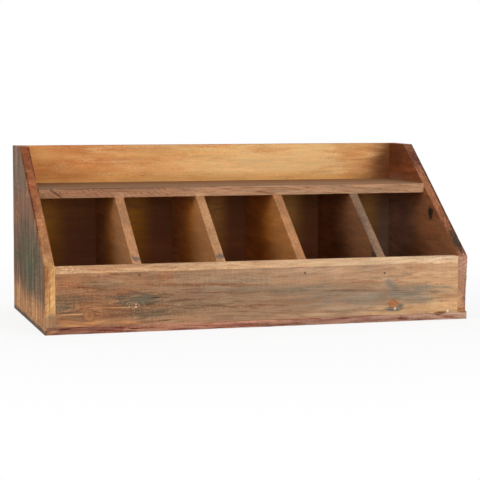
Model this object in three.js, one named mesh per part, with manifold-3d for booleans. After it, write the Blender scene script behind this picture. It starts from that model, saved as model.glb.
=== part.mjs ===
// Cutlery caddy of reclaimed boards: a box with a low front, sloping sides, five compartments between
// four dividers, and a shelf over their back half. Every board is butted to its neighbour with a glue
// line and held by lost-head nails, each in its own pilot hole.
// Millimetres, +Z up, front towards -Y. The origin is on the table, under the middle of the base.

import * as THREE from "three";
import { mergeVertices } from "three/addons/utils/BufferGeometryUtils.js";
import Module from "manifold-3d";

const wasm = await Module();
wasm.setup();

// Overall sizes
const caddyLength = 600;
const caddyDepth = 280;
const caddyHeight = 240;
const frontHeight = 90;
const topLedge = 70;

// Board thicknesses, which differ because the boards are reclaimed
const baseThickness = 10;
const leftThickness = 14;
const rightThickness = 14;
const frontThickness = 15;
const backThickness = 14;
const shelfThickness = 14;
const dividerThickness = 13;

// Front board's planed top edge
const bevelRun = 9;
const bevelDrop = 6.5;

// Shelf: the height of its top, and how far it stands proud of the dividers' sloping edges
const shelfTop = 185;
const shelfLip = 0.5;

// Dividers: evenly spread, then each off by hand
const dividerDrift = [2.5, 2.5, 0.5, 0];

// Joints
const glueLine = 0.3;

// Lost-head nails and their pilot holes
const nailLength = 30;
const nailShankRadius = 0.8;
const nailHeadRadius = 1.3;
const nailHeadHeight = 1.2;
const nailTipLength = 2;
const nailSetDepth = 0.6;
const nailClearance = 0.3;
const nailSides = 8;

// Where nails stand along each joint, measured from its ends
const frontNailDrop = 18;
const sideNailInset = 18;
const baseNailInset = 30;
const shelfNailInset = 28;
const dividerNailInset = 45;
const railNailInset = 143;

// How far the front and back nails of each divider stand above or below their joint's place, off by hand
const dividerNailDrift = [4.5, 0, 0.5, -3.5];

// Faces that the boards share
const leftFace = -caddyLength / 2;
const rightFace = caddyLength / 2;
const frontFace = -caddyDepth / 2;
const backFace = caddyDepth / 2;
const leftInner = leftFace + leftThickness;
const rightInner = rightFace - rightThickness;
const frontInner = frontFace + frontThickness;
const backInner = backFace - backThickness;
const wallFoot = baseThickness + glueLine;
const railStart = leftInner + glueLine;
const railEnd = rightInner - glueLine;
const shelfUnder = shelfTop - shelfThickness;

// The sides' slope, and the dividers' edges, which slope alike from the front board's top to the shelf
const slope = (caddyHeight - frontHeight) / (caddyDepth - topLedge);
const dividerFront = frontInner + glueLine;
const dividerBack = backInner - glueLine;
const dividerTop = shelfUnder - glueLine;
const slopeEnd = dividerFront + (dividerTop - frontHeight) / slope;
const shelfFront = slopeEnd - shelfLip;

// Finishes

function woodFinish(color, roughness) {
  return new THREE.MeshStandardMaterial({ color, roughness, metalness: 0 });
}

const woods = {
  front: woodFinish(0x9a7350, 0.75),
  leftSide: woodFinish(0x7d6a55, 0.8),
  rightSide: woodFinish(0x7a4c33, 0.75),
  back: woodFinish(0xc08a4a, 0.7),
  shelf: woodFinish(0x8f6c53, 0.75),
  base: woodFinish(0x8a5646, 0.75),
  divider: woodFinish(0xa3764c, 0.75),
};
const nailSteel = new THREE.MeshStandardMaterial({ color: 0x3d3a37, roughness: 0.6, metalness: 0.8 });

// Solids

function solidFrom(geometry) {
  const bare = geometry.clone();
  bare.deleteAttribute("normal");
  bare.deleteAttribute("uv");
  const merged = mergeVertices(bare, 1e-4);
  return new wasm.Manifold(
    new wasm.Mesh({
      numProp: 3,
      vertProperties: new Float32Array(merged.attributes.position.array),
      triVerts: new Uint32Array(merged.index.array),
    }),
  );
}

function geometryFrom(solid) {
  const mesh = solid.getMesh();
  const geometry = new THREE.BufferGeometry();
  geometry.setAttribute("position", new THREE.BufferAttribute(new Float32Array(mesh.vertProperties), 3));
  geometry.setIndex(new THREE.BufferAttribute(new Uint32Array(mesh.triVerts), 1));
  geometry.computeVertexNormals();
  return geometry;
}

// A board with its outline in the YZ plane, given as [y, z] corners, that runs along X between two faces.
function boardAlongX(outline, startX, endX) {
  const shape = new THREE.Shape(outline.map(([y, z]) => new THREE.Vector2(y, z)));
  const geometry = new THREE.ExtrudeGeometry(shape, { depth: endX - startX, bevelEnabled: false });
  const turn = new THREE.Matrix4().makeBasis(
    new THREE.Vector3(0, 1, 0),
    new THREE.Vector3(0, 0, 1),
    new THREE.Vector3(1, 0, 0),
  );
  geometry.applyMatrix4(turn);
  return geometry.translate(startX, 0, 0);
}

function addBoard(group, name, geometry, material) {
  const mesh = new THREE.Mesh(geometry, material);
  mesh.name = name;
  group.add(mesh);
  return mesh;
}

// Boards

function rectangle(y0, z0, y1, z1) {
  return [
    [y0, z0],
    [y1, z0],
    [y1, z1],
    [y0, z1],
  ];
}

function sideOutline() {
  return [
    [frontFace, wallFoot],
    [backFace, wallFoot],
    [backFace, caddyHeight],
    [backFace - topLedge, caddyHeight],
    [frontFace, frontHeight],
  ];
}

function frontOutline() {
  return [
    [frontFace, wallFoot],
    [frontInner, wallFoot],
    [frontInner, frontHeight],
    [frontFace + bevelRun, frontHeight],
    [frontFace, frontHeight - bevelDrop],
  ];
}

function dividerOutline() {
  return [
    [dividerFront, wallFoot],
    [dividerBack, wallFoot],
    [dividerBack, dividerTop],
    [slopeEnd, dividerTop],
    [dividerFront, frontHeight],
  ];
}

function dividerCentre(index) {
  const count = dividerDrift.length;
  const compartment = (rightInner - leftInner - count * dividerThickness) / (count + 1);
  const pitch = compartment + dividerThickness;
  return leftInner + pitch * (index + 1) - dividerThickness / 2 + dividerDrift[index];
}

function dividerGeometry(index) {
  const start = dividerCentre(index) - dividerThickness / 2;
  return boardAlongX(dividerOutline(), start, start + dividerThickness);
}

const caddy = new THREE.Group();
const carcass = new THREE.Group();
const insert = new THREE.Group();
const nails = new THREE.Group();
caddy.add(carcass, insert, nails);

const base = addBoard(
  carcass,
  "base_board",
  boardAlongX(rectangle(frontFace, 0, backFace, baseThickness), leftFace, rightFace),
  woods.base,
);
const leftSide = addBoard(
  carcass,
  "left_side",
  boardAlongX(sideOutline(), leftFace, leftInner),
  woods.leftSide,
);
const rightSide = addBoard(
  carcass,
  "right_side",
  boardAlongX(sideOutline(), rightInner, rightFace),
  woods.rightSide,
);
const front = addBoard(
  carcass,
  "front_board",
  boardAlongX(frontOutline(), railStart, railEnd),
  woods.front,
);
const back = addBoard(
  carcass,
  "back_board",
  boardAlongX(rectangle(backInner, wallFoot, backFace, caddyHeight), railStart, railEnd),
  woods.back,
);
const shelf = addBoard(
  insert,
  "shelf_board",
  boardAlongX(rectangle(shelfFront, shelfUnder, dividerBack, shelfTop), railStart, railEnd),
  woods.shelf,
);
const dividers = [...dividerDrift.keys()].map((index) =>
  addBoard(insert, `divider_${index + 1}`, dividerGeometry(index), woods.divider),
);

// Nails. A nail's own axis is +Y, with the middle of its head's top at the origin and its point below.

function nailGeometry(clearance, headTop) {
  const shank = nailShankRadius + clearance;
  const head = nailHeadRadius + clearance;
  const headUnder = -nailHeadHeight - clearance;
  const point = -nailLength - clearance;
  const profile = [
    [0, point],
    [shank, point + nailTipLength],
    [shank, headUnder],
    [head, headUnder],
    [head, headTop],
    [0, headTop],
  ];
  return new THREE.LatheGeometry(
    profile.map(([radius, along]) => new THREE.Vector2(radius, along)),
    nailSides,
  );
}

const pilotHoles = new Map();

// Drives a nail into a board's face at a point, in a direction, through the boards listed.
function driveNail(name, [x, y, z], direction, boards) {
  const into = new THREE.Vector3(...direction);
  const nail = new THREE.Mesh(nailGeometry(0, 0), nailSteel);
  nail.name = name;
  nail.quaternion.setFromUnitVectors(new THREE.Vector3(0, -1, 0), into);
  nail.position.set(x, y, z).addScaledVector(into, nailSetDepth);
  nail.updateMatrixWorld(true);
  nails.add(nail);
  const bore = nailGeometry(nailClearance, nailSetDepth + nailClearance);
  const hole = solidFrom(bore.applyMatrix4(nail.matrixWorld));
  for (const board of boards) pilotHoles.set(board, [...(pilotHoles.get(board) ?? []), hole]);
}

const towards = {
  left: [-1, 0, 0],
  right: [1, 0, 0],
  front: [0, -1, 0],
  back: [0, 1, 0],
  down: [0, 0, -1],
  up: [0, 0, 1],
};

const frontMiddle = (frontFace + frontInner) / 2;
const backMiddle = (backInner + backFace) / 2;
const leftMiddle = (leftFace + leftInner) / 2;
const rightMiddle = (rightInner + rightFace) / 2;
const shelfMiddle = (shelfUnder + shelfTop) / 2;

// Points that stand evenly along a joint, the first and last at one inset from its ends.
function spread(from, to, inset, count) {
  const gap = (to - from - 2 * inset) / (count - 1);
  return [...Array(count).keys()].map((index) => from + inset + index * gap);
}

function nailSide(label, face, direction, side) {
  spread(wallFoot, frontHeight - bevelDrop, sideNailInset, 2).forEach((z, index) =>
    driveNail(`${label}_front_nail_${index + 1}`, [face, frontMiddle, z], direction, [side, front]),
  );
  spread(wallFoot, caddyHeight, baseNailInset, 3).forEach((z, index) =>
    driveNail(`${label}_back_nail_${index + 1}`, [face, backMiddle, z], direction, [side, back]),
  );
  spread(shelfFront, dividerBack, shelfNailInset, 2).forEach((y, index) =>
    driveNail(`${label}_shelf_nail_${index + 1}`, [face, y, shelfMiddle], direction, [side, shelf]),
  );
}

function nailBase() {
  spread(frontFace, backFace, baseNailInset, 3).forEach((y, index) => {
    driveNail(`base_left_nail_${index + 1}`, [leftMiddle, y, 0], towards.up, [base, leftSide]);
    driveNail(`base_right_nail_${index + 1}`, [rightMiddle, y, 0], towards.up, [base, rightSide]);
  });
  spread(railStart, railEnd, railNailInset, 2).forEach((x, index) => {
    driveNail(`base_front_nail_${index + 1}`, [x, frontMiddle, 0], towards.up, [base, front]);
    driveNail(`base_back_nail_${index + 1}`, [x, backMiddle, 0], towards.up, [base, back]);
  });
}

function nailDivider(divider, index) {
  const x = dividerCentre(index);
  const tag = index + 1;
  const height = frontHeight - frontNailDrop + dividerNailDrift[index];
  const shelfPoint = [x, (slopeEnd + dividerBack) / 2, shelfTop];
  driveNail(`front_divider_nail_${tag}`, [x, frontFace, height], towards.back, [front, divider]);
  driveNail(`back_divider_nail_${tag}`, [x, backFace, height], towards.front, [back, divider]);
  driveNail(`shelf_divider_nail_${tag}`, shelfPoint, towards.down, [shelf, divider]);
  spread(dividerFront, dividerBack, dividerNailInset, 2).forEach((y, nail) =>
    driveNail(`base_divider_nail_${tag}_${nail + 1}`, [x, y, 0], towards.up, [base, divider]),
  );
}

nailSide("left", leftFace, towards.right, leftSide);
nailSide("right", rightFace, towards.left, rightSide);
nailBase();
dividers.forEach(nailDivider);

// Pilot holes are bored into the boards last.
for (const [board, holes] of pilotHoles) {
  const bored = holes.reduce((solid, hole) => solid.subtract(hole), solidFrom(board.geometry));
  board.geometry = geometryFrom(bored);
}

export default caddy;
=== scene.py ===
"""Looks of the cutlery caddy: worn reclaimed boards, nailed together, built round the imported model.

Lengths are millimetres in the part's frame until a mesh is made, and metres from there on.
Colours are written as they look on a screen, red, green and blue from 0 to 255.
"""

import itertools
from functools import partial

import bpy
import numpy as np
from mathutils import Matrix, Vector


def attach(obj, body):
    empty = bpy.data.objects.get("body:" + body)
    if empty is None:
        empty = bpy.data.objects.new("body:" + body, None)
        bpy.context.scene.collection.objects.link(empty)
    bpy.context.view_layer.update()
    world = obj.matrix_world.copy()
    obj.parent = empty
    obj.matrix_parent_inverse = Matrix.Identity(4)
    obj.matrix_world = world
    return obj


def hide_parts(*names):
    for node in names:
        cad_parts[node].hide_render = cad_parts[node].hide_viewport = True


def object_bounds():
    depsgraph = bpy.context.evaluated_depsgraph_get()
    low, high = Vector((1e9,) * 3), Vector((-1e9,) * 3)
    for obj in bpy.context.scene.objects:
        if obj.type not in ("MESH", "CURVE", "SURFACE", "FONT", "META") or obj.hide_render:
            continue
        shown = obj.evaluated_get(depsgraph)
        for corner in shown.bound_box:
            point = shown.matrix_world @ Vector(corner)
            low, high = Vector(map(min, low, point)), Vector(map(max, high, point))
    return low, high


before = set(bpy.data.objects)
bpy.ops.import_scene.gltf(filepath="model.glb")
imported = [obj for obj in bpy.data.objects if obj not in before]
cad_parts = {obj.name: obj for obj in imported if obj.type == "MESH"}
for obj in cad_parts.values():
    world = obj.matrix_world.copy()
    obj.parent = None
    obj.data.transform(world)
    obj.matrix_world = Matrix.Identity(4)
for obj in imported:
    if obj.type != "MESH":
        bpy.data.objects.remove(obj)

cad_low, cad_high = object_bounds()

MM = 0.001
X, Y, Z = 0, 1, 2

# Within this many millimetres two places count as one
NEAR = 0.01

WHITE = (1.0, 1.0, 1.0, 1.0)

# Camera: fitted to the corners of the box in the photograph
CAMERA_PLACE = Vector((-0.6345, -2.2001, 0.322))
CAMERA_AIM = Vector((0.0066, 0.0, 0.1062))
CAMERA_ROLL = 0.0027
CAMERA_LENS = 119.77

# Light: place, size in metres and power in watts of each softbox, which all face the box
SOFTBOXES = {
    "key_softbox": ((1.2, -2.5, 0.72), 0.9, 33.0),
    "left_fill_softbox": ((-0.7, -2.4, 0.5), 0.5, 2.8),
    "right_fill_softbox": ((0.35, -2.45, 0.45), 0.5, 1.5),
    "left_softbox": ((-2.5, -1.5, 1.1), 1.6, 40.0),
    "top_softbox": ((0.0, -0.3, 2.4), 1.8, 11.5),
    "back_softbox": ((0.4, 2.2, 1.5), 1.6, 25.0),
}
SOFTBOX_AIM = Vector((0.0, 0.0, 0.1))
AMBIENT = 0.36

# Floor
FLOOR_RADIUS = 3.0
FLOOR_DROP = 0.2 * MM
FLOOR_GREY = (0.9, 0.9, 0.9, 1.0)
SHADOW_SHARE = 0.16
SHADOW_REACH = 0.9


# Material helpers


class Field:
    """A number, place or colour that varies over a surface. Arithmetic on it adds nodes to its tree."""

    def __init__(self, socket):
        self.tree = socket.id_data
        self.socket = socket

    def __add__(self, other):
        return calculate("ADD", self, other)

    def __sub__(self, other):
        return calculate("SUBTRACT", self, other)

    def __rsub__(self, other):
        return calculate("SUBTRACT", other, self)

    def __mul__(self, other):
        return calculate("MULTIPLY", self, other)

    def __truediv__(self, other):
        return calculate("DIVIDE", self, other)

    __radd__ = __add__


def plug(slot, value):
    if isinstance(value, Field):
        value.tree.links.new(value.socket, slot)
    else:
        slot.default_value = value


def operate(kind, operation, values):
    """A node that does one operation on the values, of which at least one is a field."""
    tree = next(value.tree for value in values if isinstance(value, Field))
    node = tree.nodes.new(kind)
    node.operation = operation
    for slot, value in zip(node.inputs, values):
        plug(slot, value)
    return node


def calculate(operation, *values):
    return Field(operate("ShaderNodeMath", operation, values).outputs[0])


def calculate_vector(operation, *values):
    result = "Value" if operation in ("LENGTH", "DOT_PRODUCT") else "Vector"
    return Field(operate("ShaderNodeVectorMath", operation, values).outputs[result])


def add_node(tree, kind, inputs):
    node = tree.nodes.new(kind)
    for name, value in inputs.items():
        plug(node.inputs[name], value)
    return node


def fresh_tree(owner):
    """The emptied node tree of a world or a material."""
    owner.use_nodes = True
    owner.node_tree.nodes.clear()
    return owner.node_tree


def ease(value, low, high, first=0.0, last=1.0):
    """Goes smoothly from first to last as the value goes from low to high."""
    node = value.tree.nodes.new("ShaderNodeMapRange")
    node.interpolation_type = "SMOOTHSTEP"
    for slot, number in zip(node.inputs, (value, low, high, first, last)):
        plug(slot, number)
    return Field(node.outputs[0])


def linear(colour):
    """A screen colour as the light values that a shader takes."""
    shares = np.clip(np.array(colour) / 255.0, 0.0, 1.0)
    light = np.where(shares <= 0.04045, shares / 12.92, ((shares + 0.055) / 1.055) ** 2.4)
    return (*light, 1.0)


def shade_of(colour, share):
    return linear([part * share for part in colour])


# Camera, lights and floor


def aim_camera():
    camera = bpy.data.objects.new("camera", bpy.data.cameras.new("camera"))
    bpy.context.scene.collection.objects.link(camera)
    camera.data.sensor_width = 36.0
    camera.data.lens = CAMERA_LENS
    camera.data.clip_end = 100.0
    turn = (CAMERA_AIM - CAMERA_PLACE).to_track_quat("-Z", "Y").to_matrix().to_4x4()
    camera.matrix_world = Matrix.Translation(CAMERA_PLACE) @ turn @ Matrix.Rotation(CAMERA_ROLL, 4, "Z")
    bpy.context.scene.camera = camera


def hang_softbox(name, place, size, power):
    lamp = bpy.data.lights.new(name, "AREA")
    lamp.shape = "SQUARE"
    lamp.size = size
    lamp.energy = power
    softbox = bpy.data.objects.new(name, lamp)
    softbox.location = place
    softbox.rotation_euler = (SOFTBOX_AIM - Vector(place)).to_track_quat("-Z", "Y").to_euler()
    bpy.context.scene.collection.objects.link(softbox)


def seen_directly(tree):
    """One on rays from the camera, a mirror or a glass, and zero on the rays that light the box."""
    path = tree.nodes.new("ShaderNodeLightPath")
    seen = Field(path.outputs["Is Camera Ray"])
    for name in ("Is Glossy Ray", "Is Transmission Ray"):
        seen = calculate("MAXIMUM", seen, Field(path.outputs[name]))
    return seen


def light_world():
    world = bpy.data.worlds.new("studio")
    bpy.context.scene.world = world
    tree = fresh_tree(world)
    strength = ease(seen_directly(tree), 0.0, 1.0, AMBIENT, 1.0)
    background = add_node(tree, "ShaderNodeBackground", {"Color": WHITE, "Strength": strength})
    add_node(tree, "ShaderNodeOutputWorld", {"Surface": Field(background.outputs[0])})


def lay_floor():
    """A pale floor that shows white, and keeps part of the box's shadow close to the box."""
    corners = [(-1, -1, 0), (1, -1, 0), (1, 1, 0), (-1, 1, 0)]
    mesh = bpy.data.meshes.new("floor")
    mesh.from_pydata([Vector(corner) * FLOOR_RADIUS for corner in corners], [], [(0, 1, 2, 3)])
    floor = bpy.data.objects.new("floor", mesh)
    floor.location.z = cad_low.z - FLOOR_DROP
    bpy.context.scene.collection.objects.link(floor)
    material = bpy.data.materials.new("floor_white")
    tree = fresh_tree(material)
    place = Field(tree.nodes.new("ShaderNodeTexCoord").outputs["Object"])
    reach = calculate_vector("LENGTH", place)
    fade = ease(reach, SHADOW_REACH * 0.4, SHADOW_REACH, 1.0 - SHADOW_SHARE, 1.0)
    matte = add_node(tree, "ShaderNodeBsdfDiffuse", {"Color": FLOOR_GREY})
    white = add_node(tree, "ShaderNodeEmission", {"Color": WHITE})
    mix = tree.nodes.new("ShaderNodeMixShader")
    layers = (fade * seen_directly(tree), Field(matte.outputs[0]), Field(white.outputs[0]))
    for slot, layer in zip(mix.inputs, layers):
        plug(slot, layer)
    add_node(tree, "ShaderNodeOutputMaterial", {"Surface": Field(mix.outputs[0])})
    mesh.materials.append(material)


# Board shapes

# Distances from an edge at which a board's grid is cut, so that its worn round has enough faces
EDGE_CUTS = np.array([0.0, 0.3, 0.7, 1.2, 1.9, 2.8, 4.0])
NAIL_CUTS = np.array([-2.6, -1.9, -1.3, -0.6, 0.0, 0.6, 1.3, 1.9, 2.6])
CRACK_CUTS = np.array([-1.4, -0.7, -0.3, 0.0, 0.3, 0.7, 1.4])
LEAST_CUT = 0.25

# Worn edges
CHIP_SIZE = 16.0
CHIP_START = 0.5
CHIP_DEPTH = 7.0
ROUND_CHANGE = 0.4
ROUND_WAVE = 25.0
MOST_ROUND = 0.3
END_ROUND = 0.4
END_REACH = 6.0
ROUNDING_STEPS = 24

# Surface relief, all of it cut inwards. The sizes are along and across the grain
WARP_SIZE = (170.0, 60.0)
WARP_DEPTH = 0.3
RIDGE_SIZE = (60.0, 4.0)
PIT_SIZE = 3.0
END_DEPTH = 0.12
END_CALM = 0.7
NAIL_DENT = 0.9
NAIL_DENT_RADIUS = (1.5, 2.5)
CRACK_WIDTH = (0.25, 0.9)

# How far a planed slope wavers, as a share of its depth, and the waves in a millimetre along X
PLANED_WAVER = 0.12
PLANED_WAVES = np.array([0.02, 0.0, 0.0])

# Joints: how near another board is, the share of the gap that each side closes, and the round that is left
JOINT_REACH = 1.0
JOINT_CLOSE = 0.4
JOINT_ROUND = 0.3

# Nails whose holes are filled level with the wood
FILLED_NAILS = ("front_divider_nail_2",)


def smooth(value, low, high):
    share = np.clip((value - low) / (high - low), 0.0, 1.0)
    return share * share * (3.0 - 2.0 * share)


def cell_noise(points, seed):
    """Smooth noise from -1 to 1, with one unit of the points per cell."""
    cell = np.floor(points).astype(np.int64)
    part = points - cell
    blend = smooth(part, 0.0, 1.0)
    total = np.zeros(len(points))
    for corner in itertools.product((0, 1), repeat=3):
        key = cell + np.array(corner)
        mixed = key[:, 0] * 73856093 ^ key[:, 1] * 19349663 ^ key[:, 2] * 83492791 ^ seed * 2654435761
        mixed = (mixed ^ mixed >> 13) * 1274126177 & 0xFFFFFFFF
        value = (mixed >> 8 & 0xFFFF) / 32767.5 - 1.0
        total += value * np.prod(np.where(corner, blend, 1.0 - blend), axis=1)
    return total


def layered_noise(points, seed, layers=3):
    total = np.zeros(len(points))
    for layer in range(layers):
        total += cell_noise(points * 2.0**layer, seed + layer) * 0.5**layer
    return total


def reach_from(points, centre, size):
    """How far points lie from a centre: one at the ellipsoid of the size given."""
    return np.linalg.norm((points - np.array(centre)) / np.array(size), axis=1)


def along_grain(board, along, across):
    """One length along the board's grain and another across it, as a length for each axis."""
    lengths = np.full(3, across)
    lengths[board.along] = along
    return lengths


def cuts_along(low, high, pitch, extra):
    """Where the grid cuts one axis: evenly, closer near both ends, and at each extra place."""
    reach = EDGE_CUTS[-1]
    count = max(1, round((high - low - 2.0 * reach) / pitch))
    even = np.linspace(low + reach, high - reach, count + 1)
    places = np.concatenate([even, low + EDGE_CUTS, high - EDGE_CUTS, extra])
    places = np.unique(places[(places >= low) & (places <= high)])
    kept = [low]
    for place in places[1:]:
        if place - kept[-1] >= LEAST_CUT:
            kept.append(place)
    kept[-1] = high
    return np.array(kept)


def box_grid(cuts):
    """Points and faces on the skin of a box whose axes are cut at the places given."""
    shape = tuple(len(c) for c in cuts)
    index = np.full(shape, -1)
    skin = np.zeros(shape, bool)
    for axis in range(3):
        ends = [slice(None)] * 3
        ends[axis] = [0, -1]
        skin[tuple(ends)] = True
    index[skin] = np.arange(skin.sum())
    points = np.stack(np.meshgrid(*cuts, indexing="ij"), -1)[skin]
    faces = []
    for axis in range(3):
        for end in (0, -1):
            sheet = np.take(index, end, axis)
            sheet = sheet.T if axis == Y else sheet
            quads = np.stack([sheet[:-1, :-1], sheet[1:, :-1], sheet[1:, 1:], sheet[:-1, 1:]], -1)
            quads = quads.reshape(-1, 4)
            faces.append(quads[:, ::-1] if end == 0 else quads)
    return points, np.concatenate(faces)


def node_points(node):
    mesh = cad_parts[node].data
    flat = np.zeros(len(mesh.vertices) * 3)
    mesh.vertices.foreach_get("co", flat)
    return flat.reshape(-1, 3) / MM


class Board:
    """One board's place, read from its node, and how it is worn."""

    def __init__(self, node, along, thick, pitch, seed, edge=0.8, chips=0.5, grain=0.14, planed=0.0):
        points = node_points(node)
        self.node = node
        self.along = along
        self.thick = thick
        self.across = 3 - along - thick
        self.pitch = pitch
        self.seed = seed
        self.edge = edge
        self.chips = chips
        self.grain = grain
        self.planed = planed
        self.dents = []
        self.worn = []
        self.tapers = []
        self.cracks = []
        self.grooves = None
        self.low = points.min(0)
        self.high = points.max(0)
        front = points[points[:, Y] < self.low[Y] + NEAR]
        top = points[points[:, Z] > self.high[Z] - NEAR]
        self.front_top = front[:, Z].max() - planed
        self.ledge = top[:, Y].min()

    def slopes(self):
        return self.high[Z] - self.front_top > 0.1

    def rise(self):
        return (self.high[Z] - self.front_top) / (self.ledge - self.low[Y])

    def slope_line(self, points):
        """Height of the slope under each point. A planed slope wavers, and runs out where it tapers."""
        wave = self.planed * PLANED_WAVER * layered_noise(points * PLANED_WAVES, self.seed + 60)
        start = self.front_top + wave
        for full, gone in self.tapers:
            run_out = smooth((points[:, X] - full) / (gone - full), 0.0, 1.0)
            start = start + (self.high[Z] - start) * run_out
        return start + self.rise() * (points[:, Y] - self.low[Y])

    def top_at(self, points):
        if not self.slopes():
            return np.full(len(points), self.high[Z])
        return np.minimum(self.high[Z], self.slope_line(points))

    def planes(self, points):
        """How deep each point lies under each plane of the board, and the planes' outward normals."""
        depths = [points - self.low, self.high - points]
        normals = [-np.eye(3), np.eye(3)]
        if self.slopes():
            length = np.hypot(1.0, self.rise())
            depths.append((self.slope_line(points) - points[:, Z])[:, None] / length)
            normals.append(np.array([[0.0, -self.rise(), 1.0]]) / length)
        return np.concatenate(depths, 1), np.concatenate(normals)


def find_nails():
    """Each nail's node, the middle of its head and the way it was driven."""
    nails = {}
    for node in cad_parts:
        if "_nail_" not in node:
            continue
        points = node_points(node)
        low, high = points.min(0), points.max(0)
        axis = int(np.argmax(high - low))
        ends = [points[np.abs(points[:, axis] - end[axis]) < NEAR] for end in (low, high)]
        head_low = np.ptp(ends[0], axis=0).max() > np.ptp(ends[1], axis=0).max()
        head = (low + high) / 2.0
        head[axis] = low[axis] if head_low else high[axis]
        into = np.eye(3)[axis] * (1.0 if head_low else -1.0)
        nails[node] = (head, into)
    return nails


NAILS = find_nails()


def heads_in(board):
    inside = [
        head
        for node, (head, into) in NAILS.items()
        if node not in FILLED_NAILS
        and np.all(head > board.low - NEAR)
        and np.all(head < board.high + NEAR)
    ]
    return np.array(inside).reshape(-1, 3)


def grid_of(board):
    heads = heads_in(board)
    cuts = []
    for axis in range(3):
        extra = [] if axis == board.thick else (heads[:, axis, None] + NAIL_CUTS).ravel()
        if axis == board.across:
            for start, end, depth in board.cracks:
                extra = np.concatenate([extra, start[axis] + CRACK_CUTS])
        if axis == Y and board.slopes():
            corner = np.concatenate([board.ledge - EDGE_CUTS, board.ledge + EDGE_CUTS])
            extra = np.concatenate([extra, corner])
        cuts.append(cuts_along(board.low[axis], board.high[axis], board.pitch[axis], extra))
    points, faces = box_grid(cuts)
    share = (points[:, Z] - board.low[Z]) / (board.high[Z] - board.low[Z])
    points[:, Z] = board.low[Z] + share * (board.top_at(points) - board.low[Z])
    return points, faces


def round_edges(board, points, radius):
    """The worn round of every edge: its outward direction, how much wood is gone, and each plane's share."""
    depths, normals = board.planes(points)
    over = radius[:, None] - depths
    angles = normals @ normals.T - np.eye(len(normals))
    push = np.maximum(over, 0.0)
    for step in range(ROUNDING_STEPS):
        for plane in range(len(normals)):
            push[:, plane] = np.maximum(0.0, over[:, plane] - push @ angles[plane])
    total = push @ normals
    length = np.linalg.norm(total, axis=1)
    share = push**2 / (push**2).sum(1, keepdims=True)
    return total / length[:, None], length - radius, share


def find_boxes():
    """The least and greatest corner of every board."""
    boxes = []
    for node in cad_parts:
        if "_nail_" not in node:
            points = node_points(node)
            boxes.append((points.min(0), points.max(0)))
    return boxes


BOXES = find_boxes()


def find_joints(board, points):
    """Which points lie in a joint with another board, and how far they move to close its gap."""
    jointed = np.zeros(len(points), bool)
    move = np.zeros_like(points)
    for low, high in BOXES:
        over = (points > low - JOINT_REACH) & (points < high + JOINT_REACH)
        for axis in range(3):
            beside = over[:, [other for other in range(3) if other != axis]].all(1)
            above = (board.high[axis], low[axis] - board.high[axis], 1.0)
            below = (board.low[axis], board.low[axis] - high[axis], -1.0)
            for end, gap, way in (above, below):
                if 0.0 <= gap < JOINT_REACH:
                    touching = beside & (np.abs(points[:, axis] - end) < NEAR)
                    jointed |= touching
                    move[touching, axis] = way * gap * JOINT_CLOSE
    return jointed, move


def edge_radius(board, points, jointed):
    ragged = layered_noise(points / CHIP_SIZE, board.seed + 40)
    chip = np.maximum(ragged - CHIP_START, 0.0) * CHIP_DEPTH * board.chips
    radius = board.edge * (1.0 + ROUND_CHANGE * cell_noise(points / ROUND_WAVE, board.seed + 50)) + chip
    from_end = np.minimum(points - board.low, board.high - points)[:, board.along]
    radius = radius * (END_ROUND + (1.0 - END_ROUND) * smooth(from_end, 0.0, END_REACH))
    for centre, size, extra in board.worn:
        reach = reach_from(points, centre, size)
        radius = radius + extra * (1.0 - smooth(reach, 0.2, 1.0))
    radius = np.where(jointed, radius * JOINT_ROUND, radius)
    return np.minimum(radius, MOST_ROUND * (board.high - board.low).min())


def crack_depth(board, points, start, end, depth):
    """A split along the grain, deepest halfway between its ends."""
    part = (points[:, board.along] - start[board.along]) / (end[board.along] - start[board.along])
    open_share = np.sin(np.pi * np.clip(part, 0.0, 1.0)) ** 0.5
    aside = np.abs(points[:, board.across] - start[board.across])
    near = np.abs(points[:, board.thick] - start[board.thick]) < 1.0
    return depth * open_share * (1.0 - smooth(aside, *CRACK_WIDTH)) * near


def relief_of(board, points, ends):
    """How far the wood lies under the plain face: warp, raised grain, rough ends, splits and nails."""
    warp = 0.5 + 0.5 * cell_noise(points / along_grain(board, *WARP_SIZE), board.seed + 10)
    relief = WARP_DEPTH * warp * (1.0 - END_CALM * ends)
    ridges = 0.5 + 0.4 * layered_noise(points / along_grain(board, *RIDGE_SIZE), board.seed + 20, 2)
    relief += board.grain * ridges * (1.0 - ends)
    pits = 0.5 + 0.4 * layered_noise(points / PIT_SIZE, board.seed + 30, 2)
    relief += END_DEPTH * pits * ends
    if board.grooves:
        relief += board.grooves(points)
    for start, end, depth in board.cracks:
        relief += crack_depth(board, points, start, end, depth)
    for head in heads_in(board):
        reach = np.linalg.norm(points - head, axis=1)
        dent = 1.0 - smooth(reach, *NAIL_DENT_RADIUS)
        relief = relief * (1.0 - dent) + NAIL_DENT * dent
    return relief


def dents_of(board, points):
    depth = np.zeros(len(points))
    for centre, size, most in board.dents:
        reach = reach_from(points, centre, size)
        depth += most * (1.0 - smooth(reach, 0.3, 1.0))
    return depth


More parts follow.
